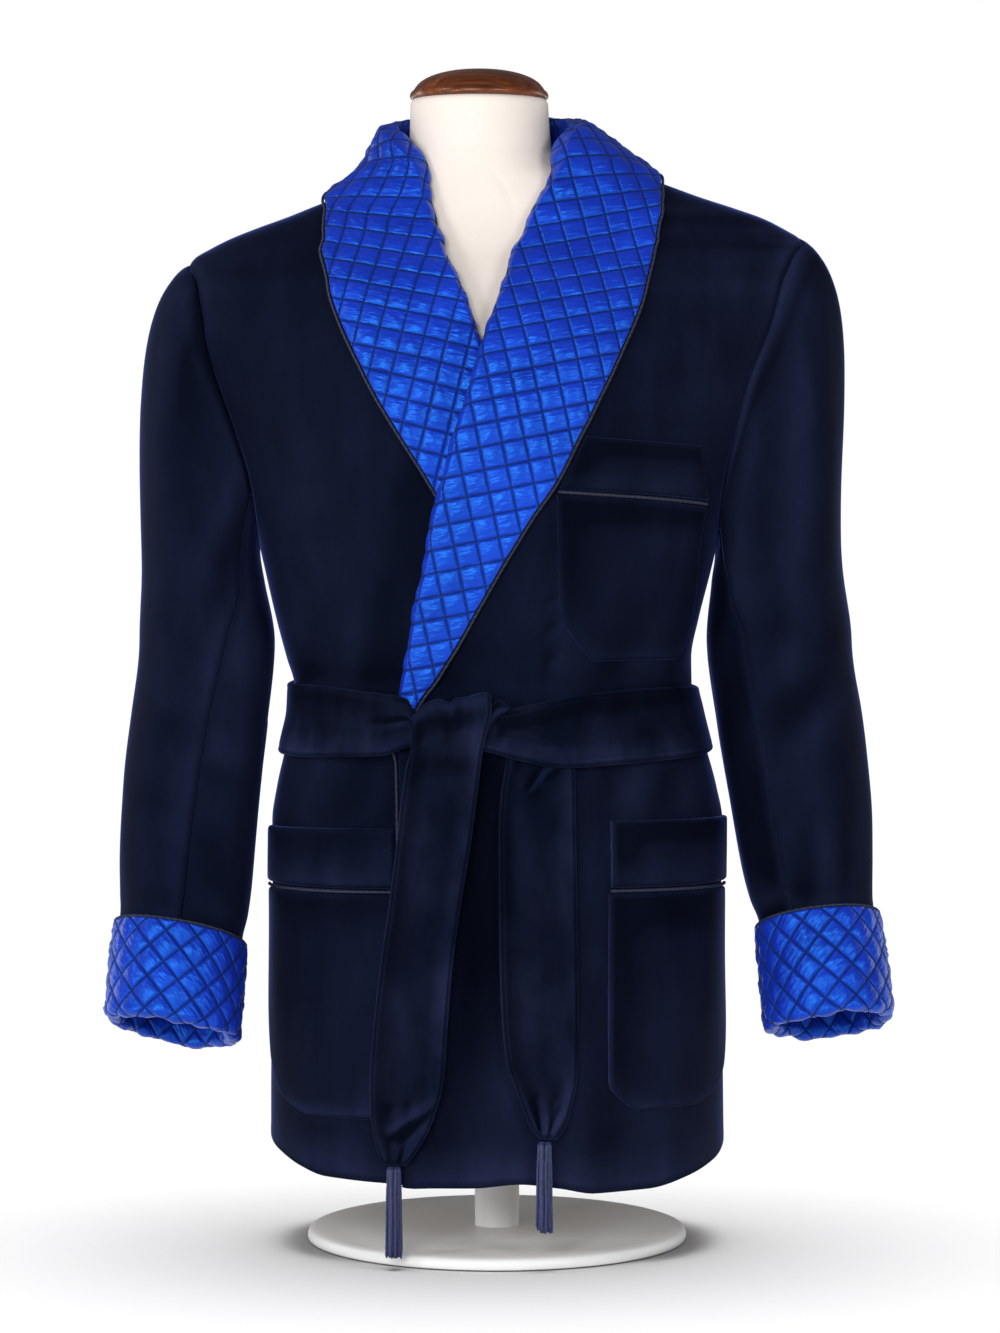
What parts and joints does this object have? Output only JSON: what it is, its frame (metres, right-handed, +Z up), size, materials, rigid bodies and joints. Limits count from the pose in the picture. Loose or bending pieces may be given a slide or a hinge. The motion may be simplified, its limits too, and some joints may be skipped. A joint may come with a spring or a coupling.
{
  "type": "smoking jacket on dress form",
  "caption": "Velvet wrap smoking jacket with quilted satin shawl collar and turned-back cuffs, cord edging, patch pockets and a knotted tasselled sash, on a limbless dress form.",
  "frame": {"origin": "centre of the base plate's underside, on the floor", "axes": "+Z up, front of the jacket towards -Y, the wearer's left towards +X"},
  "size_m": [0.6101, 0.3098, 0.9232],
  "materials": {
    "velvet": "navy velvet pile",
    "satin": "royal blue quilted satin",
    "cord": "navy twisted cord",
    "tassel": "blue silky strands",
    "form_cover": "smooth cream cover",
    "wood": "dark polished",
    "stand": "satin off-white"
  },
  "bodies": {
    "root": {"front_left": "velvet", "front_right": "velvet", "back": "velvet", "sleeve_top_left": "velvet", "sleeve_under_left": "velvet", "sleeve_top_right": "velvet", "sleeve_under_right": "velvet", "breast_pocket": "velvet", "breast_pocket_band": "velvet", "hip_pocket_left": "velvet", "hip_pocket_left_band": "velvet", "hip_pocket_right": "velvet", "hip_pocket_right_band": "velvet", "belt_band": "velvet", "belt_knot": "velvet", "belt_end_front": "velvet", "belt_end_side": "velvet", "cuff_left": "satin", "cuff_right": "satin", "collar_left": "satin", "collar_right": "satin", "cuff_cord_left": "cord", "cuff_cord_right": "cord", "collar_cord_left": "cord", "collar_cord_right": "cord", "breast_pocket_cord": "cord", "hip_pocket_left_cord": "cord", "hip_pocket_right_cord": "cord", "tassel_front": "tassel", "tassel_side": "tassel", "form_torso": "form_cover", "neck_cap": "wood", "stand_post": "stand", "base_plate": "stand"}
  },
  "joints": []
}
